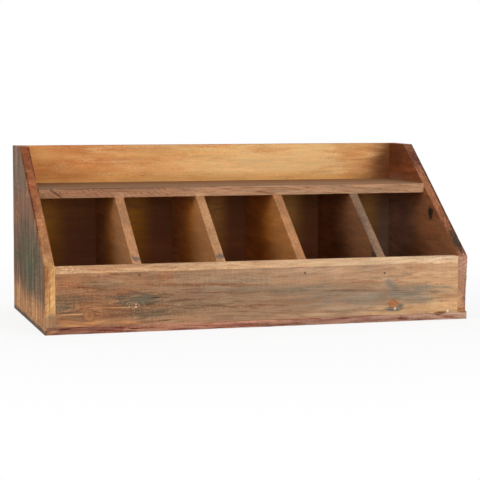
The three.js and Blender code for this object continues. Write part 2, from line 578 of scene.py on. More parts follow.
def make_board(board, material):
    points, faces = grid_of(board)
    jointed, move = find_joints(board, points)
    outward, worn, share = round_edges(board, points, edge_radius(board, points, jointed))
    broad = share[:, board.thick] + share[:, board.thick + 3]
    ends = share[:, board.along] + share[:, board.along + 3]
    relief = np.where(jointed, 0.0, relief_of(board, points, ends))
    dents = np.where(jointed, 0.0, dents_of(board, points))
    placed = points + move - outward * (worn + relief + dents)[:, None]
    mesh = bpy.data.meshes.new(f"worn_{board.node}")
    mesh.from_pydata(placed * MM, [], faces)
    marks = {"edge": 1.0 - broad, "wear": worn, "hollow": relief}
    for name, values in marks.items():
        mark = mesh.attributes.new(name, "FLOAT", "POINT")
        mark.data.foreach_set("value", values.astype(np.float32))
    mesh.shade_smooth()
    add_piece(f"worn_{board.node}", mesh, material, board.node)


def add_piece(name, mesh, material, node):
    mesh.materials.append(material)
    piece = bpy.data.objects.new(name, mesh)
    bpy.context.scene.collection.objects.link(piece)
    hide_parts(node)
    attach(piece, "root")


# Nail shapes

NAIL_SIDES = 24
GRIP_RINGS = 4


def nail_profile(node, head, into):
    """Radius and depth of a lost-head nail, from the middle of its dished head to its point."""
    away = node_points(node) - head
    depth = away @ into
    radius = np.linalg.norm(away - depth[:, None] * into, axis=1)
    wide = radius.max()
    head_depth = depth[radius > wide - NEAR].max()
    shank = radius[(depth > head_depth + NEAR) & (depth < depth.max() - NEAR)].max()
    tip_start = depth[np.abs(radius - shank) < NEAR].max()
    dish = [(0.0, 0.2), (0.35, 0.18), (0.7, 0.05), (0.85, 0.0), (0.96, 0.06), (1.0, 0.25)]
    profile = [(share * wide, drop) for share, drop in dish]
    profile += [(wide, head_depth * 0.7), (wide * 0.9, head_depth), (shank, head_depth * 1.1)]
    for ring in range(GRIP_RINGS):
        ring_depth = head_depth * (1.5 + ring)
        profile += [(shank * 0.86, ring_depth), (shank, ring_depth + head_depth * 0.4)]
    profile += [(shank, tip_start), (shank * 0.55, (tip_start + depth.max()) / 2.0), (0.0, depth.max())]
    return profile


def make_nail(node, head, into, material):
    first = np.eye(3)[(int(np.argmax(np.abs(into))) + 1) % 3]
    second = np.cross(into, first)
    turns = np.linspace(0.0, 2.0 * np.pi, NAIL_SIDES, endpoint=False)
    ring_dirs = np.cos(turns)[:, None] * first + np.sin(turns)[:, None] * second
    profile = nail_profile(node, head, into)
    points = [head + into * profile[0][1]]
    for radius, depth in profile[1:-1]:
        points.extend(head + into * depth + ring_dirs * radius)
    points.append(head + into * profile[-1][1])
    faces = []
    for side in range(NAIL_SIDES):
        after = (side + 1) % NAIL_SIDES
        faces.append((0, 1 + after, 1 + side))
        for ring in range(len(profile) - 3):
            low = 1 + ring * NAIL_SIDES
            faces.append((low + side, low + after, low + NAIL_SIDES + after, low + NAIL_SIDES + side))
        low = 1 + (len(profile) - 3) * NAIL_SIDES
        faces.append((low + side, low + after, len(points) - 1))
    mesh = bpy.data.meshes.new(f"set_{node}")
    mesh.from_pydata(np.array(points) * MM, [], faces)
    mesh.shade_smooth()
    add_piece(f"set_{node}", mesh, material, node)


# Materials


class Paint:
    """A material under construction, with its place in millimetres."""

    def __init__(self, name):
        self.material = bpy.data.materials.new(name)
        self.tree = fresh_tree(self.material)
        coordinates = Field(self.tree.nodes.new("ShaderNodeTexCoord").outputs["Object"])
        self.place = calculate_vector("MULTIPLY", coordinates, (1.0 / MM, 1.0 / MM, 1.0 / MM))

    def noise_at(self, place, detail=2.0, roughness=0.55):
        shape = {"Vector": place, "Scale": 1.0, "Detail": detail, "Roughness": roughness}
        return Field(add_node(self.tree, "ShaderNodeTexNoise", shape).outputs[0])

    def mark(self, name):
        node = self.tree.nodes.new("ShaderNodeAttribute")
        node.attribute_name = name
        return Field(node.outputs["Fac"])

    def mix(self, amount, first, second, mode="MIX", clamp=True):
        node = self.tree.nodes.new("ShaderNodeMix")
        node.data_type = "RGBA"
        node.blend_type = mode
        node.clamp_factor = clamp
        for slot, value in zip((node.inputs[0], node.inputs[6], node.inputs[7]), (amount, first, second)):
            plug(slot, value)
        return Field(node.outputs[2])

    def ramp(self, value, tones, low=0.0, high=1.0):
        """Goes through the tones, evenly, as the value goes from low to high."""
        node = self.tree.nodes.new("ShaderNodeValToRGB")
        plug(node.inputs[0], value)
        stops = node.color_ramp.elements
        while len(stops) < len(tones):
            stops.new(0.5)
        for stop, place, tone in zip(stops, np.linspace(low, high, len(tones)), tones):
            stop.position = place
            stop.color = linear(tone)
        return Field(node.outputs[0])

    def bump(self, height, strength, distance):
        shape = {"Strength": strength, "Distance": distance * MM, "Height": height}
        return Field(add_node(self.tree, "ShaderNodeBump", shape).outputs[0])

    def shader(self, colour, rough, normal, specular, metal):
        looks = {"Base Color": colour, "Roughness": rough, "Normal": normal, "Metallic": metal}
        node = add_node(self.tree, "ShaderNodeBsdfPrincipled", looks)
        node.inputs["Specular IOR Level"].default_value = specular
        add_node(self.tree, "ShaderNodeOutputMaterial", {"Surface": Field(node.outputs[0])})
        return self.material


# Wood

GRAIN_TINT = (0.42, 0.14, 0.05, 1.0)
WARM_TINT = (1.12, 0.98, 0.88, 1.0)
COOL_TINT = (0.9, 1.02, 1.1, 1.0)
PORE_TONE = (64, 40, 28)
DIRT_TONE = (62, 42, 30)
KNOT_STRETCH = 1.8
KNOT_PUSH = 0.7

# How far the grain of one board is shifted from the next, so that no two are alike
SEED_SHIFT = 613.0

# How far a mark on one face reaches into the wood, so that it doesn't show on the other face
SKIN = 9.0
WOOD_SPECULAR = 0.05

# How far stains and painted light and shade are torn, and the mean of the late wood and of the grain dashes,
# which keep a tone's level
TEAR_DEPTH = 5.0
LATE_SHARE = 0.28
DASH_SHARE = 0.1


def shades(tone, spread):
    """A dark, a plain and a light shade of one tone."""
    return [[part * share for part in tone] for share in (1.0 - spread, 1.0, 1.0 + spread)]


class Wood(Paint):
    """One board's material. The broad faces and the sawn edges are painted apart, then joined.

    The pith is where the growth rings have their middle, seen from the board's middle, across it and
    into it. Spacing is the rings' width, sway is how far they wander, tear is the size of the tongues at
    the edge of stains and of painted light and shade, along and across the grain, and spread is how much
    each of them varies.
    """

    pith = (40.0, 70.0)
    spacing = 3.4
    sway = 10.0
    tear = (30.0, 5.0)
    spread = 0.1

    def __init__(self, name, board, face, edge, **looks):
        super().__init__(name)
        self.board = board
        split = add_node(self.tree, "ShaderNodeSeparateXYZ", {"Vector": self.place})
        self.axes = [Field(socket) for socket in split.outputs]
        self.face_tones = face
        self.edge_tones = edge
        for look, value in looks.items():
            setattr(self, look, value)
        self.knots = []
        self.stains_and_shading = {"face": [], "edge": []}

    def stain_and_shading(self, where, tone, spots, soft=0.6, ragged=1.0, lean=0.0, specks=False, streaks=0.0):
        """Stains and painted light and shade of one tone. A spot is a middle, a reach along each axis and a
        strength.

        Spots may lean about Y, break up into specks, or fade along the grain's streaks by the share given.
        """
        self.stains_and_shading[where].append((tone, spots, soft, ragged, lean, specks, streaks))

    def stain_and_shading_on(self, where, axis, plane, reach, tone, spots, **style):
        """Stains and painted shading on a plane across one axis. A spot is its middle and reach on the
        others, and a strength.
        """
        placed = []
        for first, second, first_reach, second_reach, amount in spots:
            centre = [first, second]
            centre.insert(axis, plane)
            size = [first_reach, second_reach]
            size.insert(axis, reach)
            placed.append((centre, size, amount))
        self.stain_and_shading(where, tone, placed, **style)

    def knot(self, centre, radius, core, rim, strength=0.95, cornered=False):
        self.knots.append((centre, radius, core, rim, strength, cornered))

    def noise(self, along, across, *shape):
        """Noise from 0 to 1 whose spots measure so much along and across the grain."""
        scale = (1.0 / along, 1.0 / across, 1.0 / across)
        return self.noise_at(calculate_vector("MULTIPLY", self.grain, scale), *shape)

    def grain_place(self, along, across, deep):
        parts = {"X": along, "Y": across, "Z": deep}
        return Field(add_node(self.tree, "ShaderNodeCombineXYZ", parts).outputs[0])

    def lay_grain(self):
        """Sets the place along, across and into the grain, which parts round knots and sways."""
        board = self.board
        along = self.axes[board.along]
        across = self.axes[board.across]
        deep = self.axes[board.thick]
        for centre, radius, *looks in self.knots:
            part_along = (along - centre[board.along]) / (radius * KNOT_STRETCH)
            aside = across - centre[board.across]
            reach = part_along * part_along + aside * aside / radius**2
            across = across - aside * KNOT_PUSH / (reach * reach + 1.0)
        shifted = along + SEED_SHIFT * board.seed
        self.grain = self.grain_place(shifted, across, deep)
        waves = self.noise(190.0, 60.0, 1.0) - 0.5
        across = across + waves * self.sway
        deep = deep + waves * (self.sway * 0.8)
        self.grain = self.grain_place(shifted, across, deep)
        middle = (board.low + board.high) / 2.0
        aside = across - (middle[board.across] + self.pith[0])
        below = deep - (middle[board.thick] + self.pith[1])
        reach = calculate("SQRT", aside * aside + below * below)
        drift = self.noise(320.0, 45.0, 2.0) - 0.5
        self.ring = calculate("FRACT", reach / self.spacing + drift * 5.0)

    def lay_noises(self):
        self.broad = self.noise(240.0, 26.0)
        self.middle = self.noise(60.0, 8.0, 4.0, 0.62)
        self.fine = self.noise(34.0, 2.0, 3.0, 0.62)
        self.fibre = self.noise(16.0, 0.8)
        self.lines = self.fine * 0.6 + self.middle * 0.4
        self.grit = self.noise(2.2, 1.7, 3.0)
        self.mottle = self.noise(12.0, 8.0, 4.0, 0.62)
        self.torn = self.noise(*self.tear, 5.0, 0.66)
        self.tatter = (self.torn - 0.5) + (self.grit - 0.5) * 0.4
        self.pores = ease(self.noise(11.0, 0.5, 1.0), 0.62, 0.72)
        self.late = ease(self.ring, 0.45, 0.9) - ease(self.ring, 0.92, 1.0)
        self.streak = ease(self.broad * 0.4 + self.middle * 0.45 + self.grit * 0.15, 0.36, 0.64)

    def distance(self, centre, size, lean=0.0, cornered=False):
        """How far a point lies from a centre: one at the ellipsoid, or the diamond, of the size given."""
        offset = calculate_vector("SUBTRACT", self.place, centre)
        if lean:
            node = add_node(self.tree, "ShaderNodeVectorRotate", {"Vector": offset, "Angle": -lean})
            node.rotation_type = "Y_AXIS"
            offset = Field(node.outputs[0])
        offset = calculate_vector("DIVIDE", offset, size)
        if cornered:
            spread = calculate_vector("ABSOLUTE", offset)
            return calculate_vector("DOT_PRODUCT", spread, (1.0, 1.0, 1.0))
        return calculate_vector("LENGTH", offset)

    def paint_stains_and_shading(self, colour, where):
        for tone, spots, soft, ragged, lean, specks, streaks in self.stains_and_shading[where]:
            tear = self.tatter * (TEAR_DEPTH * ragged)
            strength = 0.0
            for centre, size, amount in spots:
                reach = self.distance(centre, size, lean) + tear
                spot = ease(reach, 1.0 - soft, 1.0 + soft, amount, 0.0)
                strength = calculate("MAXIMUM", spot, strength)
            if specks:
                strength = strength * ease(self.grit, 0.54, 0.62)
            if streaks:
                strength = strength * ease(self.lines, 0.42, 0.58, 1.0, 1.0 - streaks)
            dark = shade_of(tone, 1.0 - self.spread)
            light = shade_of(tone, 1.0 + self.spread)
            colour = self.mix(strength, colour, self.mix(self.streak, dark, light))
        return colour

    def paint_knots(self, colour):
        for centre, radius, core, rim, strength, cornered in self.knots:
            size = np.full(3, radius, float)
            size[self.board.thick] = SKIN
            reach = self.distance(centre, size, 0.0, cornered)
            reach = reach + (self.mottle - 0.5) * 2.0 + (self.grit - 0.5) * 0.8
            rings = ease(calculate("SINE", reach * 16.0), -1.0, 1.0)
            heart = self.mix(rings, shade_of(core, 0.86), shade_of(core, 1.12))
            heart = self.mix(ease(reach, 0.0, 0.4, 0.5, 0.0), heart, linear(rim))
            heart = self.mix(ease(reach, 0.7, 1.0), heart, linear(rim))
            colour = self.mix(ease(reach, 0.9, 1.25, strength, 0.0), colour, heart)
        return colour

    def grain_depth(self, ring=0.2, line=0.25, grit=0.4, weather=0.0, saw=0.0):
        """How much darker than plain the grain makes the wood. It is below zero where the wood is lighter."""
        depth = (self.late - LATE_SHARE) * ring * ease(self.middle, 0.35, 0.6)
        dashes = ease(self.noise(32.0, 1.5, 1.0), 0.6, 0.72)
        depth = depth + (dashes - DASH_SHARE) * line + (0.5 - self.fine) * (line * 2.0)
        depth = depth + (0.5 - self.fibre) * grit + (0.5 - self.grit) * (grit * 1.5)
        if weather:
            depth = depth + (0.5 - self.noise(90.0, 11.0, 3.0, 0.6)) * (weather * 2.0)
        if saw:
            ticks = self.noise(2.4, 28.0, 2.0)
            depth = depth + (0.5 - ticks) * ease(self.broad, 0.4, 0.6) * (saw * 2.0)
        return depth

    def tint(self, colour, hue):
        """Turns the colour towards red and grey by turns, without a change of its level."""
        turn = ease(self.noise(26.0, 4.0, 3.0, 0.6), 0.34, 0.66)
        return self.mix(hue, colour, self.mix(turn, COOL_TINT, WARM_TINT), "MULTIPLY")

    def finish(self, wear_tone, wear, calm=0.0, hue=0.3, lines=None, fade=None, **grain):
        """Joins the layers. The grain is fainter on the edges by the share called calm.

        Fade is an axis, two places on it, and the strength of the grain at each of them.
        """
        self.lay_grain()
        self.lay_noises()
        face = self.paint_stains_and_shading(self.ramp(self.streak, self.face_tones), "face")
        edge = self.paint_stains_and_shading(self.ramp(self.streak, self.edge_tones), "edge")
        if lines:
            edge = self.mix(1.0, edge, self.mix(lines(self), WHITE, GRAIN_TINT), "MULTIPLY")
        on_edge = ease(self.mark("edge") + (self.fine - 0.5) * 0.4, 0.3, 0.7)
        colour = self.paint_knots(self.mix(on_edge, face, edge))
        colour = self.tint(colour, hue)
        depth = self.grain_depth(**grain) * (1.0 - on_edge * calm)
        if fade:
            axis, *change = fade
            depth = depth * ease(self.axes[axis], *change)
        colour = self.mix(1.0, colour, self.mix(depth, WHITE, GRAIN_TINT, clamp=False), "MULTIPLY")
        colour = self.mix(self.pores * 0.2, colour, linear(PORE_TONE))
        rubbed = ease(self.mark("wear") + (self.torn - 0.5) * 0.4, 0.06, 0.26) * wear
        colour = self.mix(rubbed, colour, linear(wear_tone))
        dirt = ease(self.mark("hollow"), 0.55, 1.0) * 0.45
        colour = self.mix(dirt, colour, linear(DIRT_TONE))
        rough = 0.75 + (self.fine - 0.5) * 0.25 + self.pores * 0.15
        height = self.fibre * 0.25 + self.fine * 0.5 + self.grit * 0.3 + self.late * 0.15 - self.pores * 0.4
        return self.shader(colour, rough, self.bump(height, 0.3, 0.5), WOOD_SPECULAR, 0.0)


# The boards

# Stain colours
IRON = (84, 76, 60)
PALE_IRON = (108, 102, 86)
MOSS = (70, 78, 60)
RUST = (116, 74, 50)
INK = (52, 46, 38)


def base_board():
    board = Board("base_board", X, Z, (3, 2.5, 2), 1, edge=0.3, chips=0.4, grain=0.2)
    wood = Wood("base_wood", board, shades((154, 118, 90), 0.1), shades((141, 98, 78), 0.14), spacing=2.6)
    front = board.low[Y]
    left = board.low[X]

    on_edge = partial(wood.stain_and_shading_on, "edge", Y, front, 8)
    on_edge((118, 79, 62), [(-245, 5, 85, 20, 0.9)])
    on_edge((155, 121, 101), [(240, 5, 150, 20, 0.85)])
    on_edge((162, 115, 91), [(-60, 8.5, 120, 3.5, 0.7)], soft=0.9)
    on_edge((98, 53, 43), [(-205, 4.5, 40, 4, 0.85), (-268, 6, 18, 3, 0.8)], streaks=0.3)
    on_edge((112, 62, 54), [(-110, 2, 40, 1.4, 0.6), (-45, 4, 40, 3.5, 0.7)], streaks=0.3)
    on_edge((112, 68, 61), [(140, 6, 56, 4, 0.7), (230, 3, 40, 1.4, 0.5)], streaks=0.3)
    on_edge((164, 114, 80), [(-291, 4, 7, 2.2, 0.7)], lean=-0.3, ragged=0.5)
    on_edge((88, 50, 30), [(261, 10, 9, 1.4, 0.85)], ragged=0.4)
    wood.stain_and_shading("edge", (172, 126, 88), [((left, 0, 9), (1.5, 400, 3.5), 0.95)], soft=0.3, ragged=0.5)
    wood.stain_and_shading("edge", (92, 80, 66), [((left, 0, 1.5), (1.5, 400, 4), 0.95)], soft=0.3, ragged=0.8)
    wood.stain_and_shading("face", (122, 94, 74), [((0, 0, board.low[Z]), (600, 400, 6), 0.7)])
    make_board(board, wood.finish((96, 62, 50), 0.3, ring=0.7, line=1.1))


def left_side():
    board = Board("left_side", Z, X, (2, 2, 3), 2, edge=0.4, chips=0.2, grain=0.34)
    face = shades((122, 94, 74), 0.1)
    edge = shades((165, 117, 78), 0.08)
    grain = {"pith": (60, 90), "spacing": 3, "sway": 8, "tear": (60, 13)}
    wood = Wood("left_side_wood", board, face, edge, **grain)
    outer = board.low[X]
    inner = board.high[X]
    middle = (outer + inner) / 2
    front = board.low[Y]
    board.cracks = [
        ((outer, 62, 118), (outer, 62, 206), 0.9),
        ((outer, 18, 96), (outer, 18, 150), 0.8),
        ((outer, -52, 12), (outer, -52, 66), 0.9),
        ((outer, 104, 24), (outer, 104, 92), 0.8),
    ]

    on_face = partial(wood.stain_and_shading_on, "face", X, outer, SKIN)
    on_edge = partial(wood.stain_and_shading_on, "edge", X, middle, 30)
    on_front = partial(wood.stain_and_shading_on, "edge", Y, front, 10)
    on_face((135, 97, 76), [(40, 168, 110, 34, 0.7), (110, 150, 36, 28, 0.7)], ragged=1.5)
    on_face((114, 98, 84), [(95, 198, 60, 24, 0.7)], ragged=1.2)
    on_face((154, 110, 76), [(110, 138, 28, 9, 0.6)])
    on_face((94, 78, 62), [(0, 90, 160, 46, 0.85), (106, 92, 56, 34, 0.85)], streaks=0.4)
    on_face((76, 73, 57), [(-10, 86, 76, 36, 0.85)], streaks=0.4)
    moss = [(-14, 82, 40, 28, 0.5), (96, 84, 34, 7, 0.5), (52, 133, 22, 6, 0.5)]
    on_face(MOSS, moss, soft=0.9, ragged=0.7)
    on_face((92, 70, 58), [(90, 178, 60, 1.6, 0.35)], ragged=0.8)
    foot = [(110, 4, 140, 38, 1), (-70, 4, 150, 32, 1)]
    on_face((181, 133, 92), foot, soft=0.35, ragged=0.3)
    streaks = ((-88, 14), (-40, 20), (-12, 12), (30, 18), (74, 15), (112, 18))
    on_face((128, 88, 60), [(y, 24, 4, high, 0.5) for y, high in streaks])
    wood.stain_and_shading("face", (160, 112, 70), [((inner, 0, 120), (SKIN, 600, 600), 0.9)], ragged=0.2)
    on_edge((142, 86, 56), [(10, 195, 120, 80, 0.95)], soft=0.9, ragged=0.3)
    on_edge((132, 75, 47), [(80, 240, 90, 60, 0.95)], soft=0.8, ragged=0.3)
    lines = {"soft": 0.4, "ragged": 0.3}
    wood.stain_and_shading("edge", (96, 48, 32), [((outer, 10, 175), (2.6, 400, 72), 0.95)], **lines)
    wood.stain_and_shading("edge", (104, 54, 38), [((inner, 10, 232), (2.4, 400, 46), 0.85)], **lines)
    on_edge((184, 136, 87), [(front, 56, 12, 44, 1)], soft=0.2, ragged=0.3)
    flecks = (34, 45, 56, 67, 78)
    on_front((158, 98, 54), [(outer + 4.5, z, 6.5, 1.5, 0.8) for z in flecks], lean=-0.9)
    on_front((216, 172, 114), [(outer + 8.5, z + 5, 6.5, 1.3, 0.7) for z in flecks], lean=-0.9)
    on_front((137, 104, 77), [(outer + 9, 17, 10, 10, 0.9)], lean=0.6, soft=0.3, ragged=0.3)
    material = wood.finish((112, 70, 48), 0.4, calm=0.2, hue=0.6, ring=0.4, line=0.6, weather=1.4, saw=0.9)
    make_board(board, material)


def right_side():
    board = Board("right_side", Y, X, (2, 3, 2), 3, edge=0.45, chips=0.35, grain=0.2)
    face = shades((130, 77, 47), 0.12)
    edge = shades((142, 89, 61), 0.14)
    wood = Wood("right_side_wood", board, face, edge, pith=(20, -45), spacing=4.2, sway=34)
    inner = board.low[X]
    outer = board.high[X]
    middle = (outer + inner) / 2
    front = board.low[Y]
    wood.knot((inner, -37, 142), 8, (34, 36, 24), (60, 40, 24))
    board.dents = [
        ((inner, -37, 142), (5, 6, 7), 0.8),
        ((outer, front, 34), (2.5, 70, 56), 1.8),
    ]
    board.worn = [((outer, front, 20), (10, 12, 40), 2.6)]

    on_inner = partial(wood.stain_and_shading_on, "face", X, inner, SKIN)
    on_outer = partial(wood.stain_and_shading_on, "face", X, outer, SKIN)
    on_edge = partial(wood.stain_and_shading_on, "edge", X, middle, 20)
    # Painted light: the back of the inner face under the shelf is painted lighter, and paler still in its
    # deepest corner
    on_inner((148, 98, 65), [(70, 100, 90, 70, 0.9)], soft=0.9, ragged=0.4)
    on_inner((202, 165, 148), [(116, 105, 56, 60, 0.95)], soft=0.9, ragged=0.2)
    on_inner((112, 60, 31), [(70, 224, 130, 38, 1)], soft=0.4, ragged=0.2)
    on_inner((134, 72, 38), [(30, 208, 26, 10, 0.6)])
    on_inner((84, 46, 26), [(96, 226, 20, 20, 0.5)])
    on_inner((134, 88, 56), [(-88, 100, 46, 60, 0.7)], soft=0.9)
    on_outer((92, 66, 50), [(20, 80, 110, 24, 0.6)])
    on_outer((134, 90, 62), [(60, 190, 60, 30, 0.5)])
    wood.knot((outer, 52, 84), 9, (104, 62, 40), (64, 38, 26))
    on_edge((163, 108, 75), [(6, 194, 44, 32, 0.8)], soft=0.9, ragged=0.5)
    on_edge((89, 57, 41), [(-115, 108, 42, 32, 0.9)], ragged=0.6)
    wood.stain_and_shading("edge", INK, [((middle + 1.5, -114, 108), (4, 20, 20), 0.85)], ragged=0.7)
    on_edge((102, 61, 45), [(38, 219, 36, 26, 0.9)], ragged=0.8, streaks=0.4)
    on_edge((92, 54, 46), [(44, 220, 14, 12, 0.7)])
    on_edge((121, 80, 57), [(66, 239, 14, 6, 0.7)])
    wood.stain_and_shading("edge", (60, 38, 32), [((outer, 0, 165), (3, 400, 90), 0.9)], soft=0.4, ragged=0.3)
    on_edge((160, 116, 88), [(front, 44, 10, 46, 1)], soft=0.15, ragged=0.3)
    on_edge((154, 117, 98), [(front, 78, 10, 12, 0.8)])
    wood.stain_and_shading("edge", (122, 88, 78), [((outer, front, 34), (5, 10, 16), 0.8)], ragged=0.4)
    wood.stain_and_shading("edge", (98, 86, 90), [((outer - 3, front, 27), (3, 10, 5), 0.7)], ragged=0.4)
    wood.stain_and_shading("edge", (186, 138, 92), [((inner, front, 24), (4, 10, 16), 0.7)], ragged=0.3)
    on_edge((150, 102, 56), [(front, 12, 10, 4, 0.7)])
    fade = (X, inner, outer, 0.5, 1.3)
    material = wood.finish((92, 56, 42), 0.3, calm=-1.6, fade=fade, ring=0.24, line=0.45, grit=0.3)
    make_board(board, material)


def front_board():
    board = Board("front_board", X, Y, (3, 2, 1.8), 4, edge=0.35, chips=0.12, grain=0.22, planed=2.5)
    board.tapers = [(-280, -340), (190, 286)]
    face = shades((143, 111, 85), 0.035)
    edge = shades((196, 158, 121), 0.07)
    wood = Wood("front_wood", board, face, edge, pith=(12, 90), spacing=5, sway=16)
    outer = board.low[Y]
    board.cracks = [
        ((-84, outer, 60), (-8, outer, 60), 0.7),
        ((96, outer, 45.5), (168, outer, 45.5), 0.6),
        ((252, outer, 35), (288, outer, 35), 0.6),
    ]

    on_face = partial(wood.stain_and_shading_on, "face", Y, outer, SKIN)
    on_bevel = partial(wood.stain_and_shading_on, "edge", Y, outer + 4, 40)
    on_face((140, 96, 66), [(-250, 48, 110, 70, 0.95)], soft=0.9)
    on_face((162, 123, 91), [(-212, 69, 28, 9, 0.8), (-110, 16, 45, 6, 0.7)], soft=0.9)
    pink = [(130, 72, 110, 20, 0.8), (122, 58, 44, 7, 0.6), (245, 39, 12, 4, 0.5)]
    on_face((168, 133, 104), pink, soft=0.9)
    on_face((146, 110, 82), [(8, 63, 60, 5, 0.6)], soft=0.9)
    on_face((158, 134, 110), [(142, 28, 56, 12, 0.8), (166, 17, 30, 7, 0.6)], soft=0.9)
    on_face((182, 143, 106), [(290, 56, 100, 60, 0.95)], soft=0.9)
    on_face((198, 156, 112), [(255, 17, 56, 12, 0.85), (205, 14, 60, 6, 0.6)], soft=0.9)
    pale = [(30, 39.5, 45, 2, 0.5), (84, 13, 48, 4.5, 0.75), (110, 28, 22, 8, 0.5)]
    on_face((173, 138, 108), pale, soft=0.9)
    on_face((186, 128, 84), [(-235, 13.5, 44, 4.5, 0.85)])
    on_face((154, 100, 68), [(-140, 75, 13, 8, 0.6), (-268, 68, 20, 8, 0.5)])
    on_face((114, 78, 54), [(-272, 52, 30, 10, 0.65), (-200, 31, 26, 9, 0.6)])
    on_face((166, 118, 82), [(222, 75, 14, 4, 0.5), (268, 31, 16, 5, 0.5)])
    brown_stains = [
        (-279, 37, 20, 9, 0.95),
        (-274, 48, 20, 7, 0.6),
        (-228, 62, 24, 7, 0.6),
        (-205, 47, 18, 4, 0.5),
        (-172, 44, 30, 8, 0.9),
        (-150, 46, 20, 5, 0.4),
        (-156, 25, 28, 8, 0.75),
        (-120, 25, 18, 4, 0.35),
        (-100, 35, 38, 6, 0.6),
        (-70, 33, 22, 3.5, 0.6),
    ]
    on_face(IRON, brown_stains, streaks=0.5)
    grey_stains = [
        (-172, 44, 24, 6, 0.65),
        (-50, 52, 60, 7, 0.45),
        (-48, 64, 56, 3.5, 0.45),
        (-8, 53, 30, 5, 0.6),
        (40, 49, 60, 6, 0.7),
        (82, 46, 40, 4, 0.55),
        (239, 47, 25, 4, 0.4),
    ]
    on_face(PALE_IRON, grey_stains, soft=0.8, streaks=0.35)
    blue_stains = [
        (150, 37, 56, 9, 0.6),
        (207, 41, 40, 9, 0.8),
        (226, 33, 24, 8, 0.75),
        (183, 54, 6, 5, 0.95),
        (190, 46, 8, 6, 0.9),
        (197, 37, 6, 6, 0.8),
    ]
    on_face((106, 105, 97), blue_stains, soft=0.8, streaks=0.35)
    on_face((88, 86, 80), [(189, 18, 12, 3, 0.9), (199, 21, 5, 4, 0.8)], ragged=0.6)
    rust_streaks = [
        (-203, 52, 17, 1.5, 0.8),
        (-120, 62.5, 30, 1.5, 0.6),
        (-75, 61, 45, 1.8, 0.8),
        (-25, 58, 30, 1.4, 0.6),
        (-255, 62, 16, 2, 0.7),
        (-70, 50, 30, 1.5, 0.5),
        (150, 57, 22, 1.4, 0.5),
        (140, 45.5, 45, 1.6, 0.5),
        (-30, 29, 36, 2.2, 0.75),
        (250, 39, 5, 1.6, 0.6),
    ]
    on_face(RUST, rust_streaks, lean=0.03)
    on_face((196, 146, 100), [(-260, 27, 28, 0.9, 0.8), (-205, 34, 26, 0.8, 0.6)], ragged=0.3)
    on_face((84, 66, 56), [(-228, 76, 2, 2.4, 0.5)], ragged=0.5)
    on_face((214, 186, 144), [(-180, 36, 11, 6, 0.75), (-57, 46, 3, 3, 0.8)], specks=True)
    on_face((100, 58, 34), [(261, 10.6, 9, 1.3, 0.85)], ragged=0.4)
    on_face((234, 222, 200), [(191, 19, 2, 2, 0.7), (271, 11.6, 1.4, 2.4, 0.95)], ragged=0.15)
    wood.knot((188.5, outer, 26), 8, (162, 106, 68), (140, 98, 68), cornered=True)
    wood.knot((-241, outer, 24), 8, (154, 106, 70), (116, 76, 50), strength=0.75)
    board.dents = [
        ((190, outer, 26.5), (8, 6, 8), 0.2),
        ((-240, outer, 24), (9, 6, 9), 0.15),
        ((191, outer, 46), (9, 6, 8), 0.25),
        ((142, outer, 11), (2.5, 3, 2.5), 0.9),
        ((250, outer + 3, 86), (7, 8, 6), 0.2),
    ]
    on_bevel((176, 132, 96), [(-250, 87, 150, 20, 0.8)])
    on_bevel((198, 166, 133), [(250, 87, 120, 20, 0.75)])
    on_bevel((226, 194, 152), [(-264, 87, 22, 20, 0.55)], specks=True)
    on_bevel((232, 214, 186), [(252, 87, 14, 20, 0.9)], specks=True)
    on_face((203, 171, 136), [(262, 86, 44, 5.5, 0.95)], soft=0.35, ragged=0.3)
    on_face((232, 212, 182), [(252, 85, 10, 5, 0.9)], specks=True)
    on_face((168, 134, 112), [(270, 85.5, 9, 1.8, 0.6)], lean=0.1)
    fade = (X, -160, 140, 1.1, 0.55)
    material = wood.finish((212, 178, 138), 0.15, fade=fade, ring=0.3, line=0.5, saw=0.35)
    make_board(board, material)


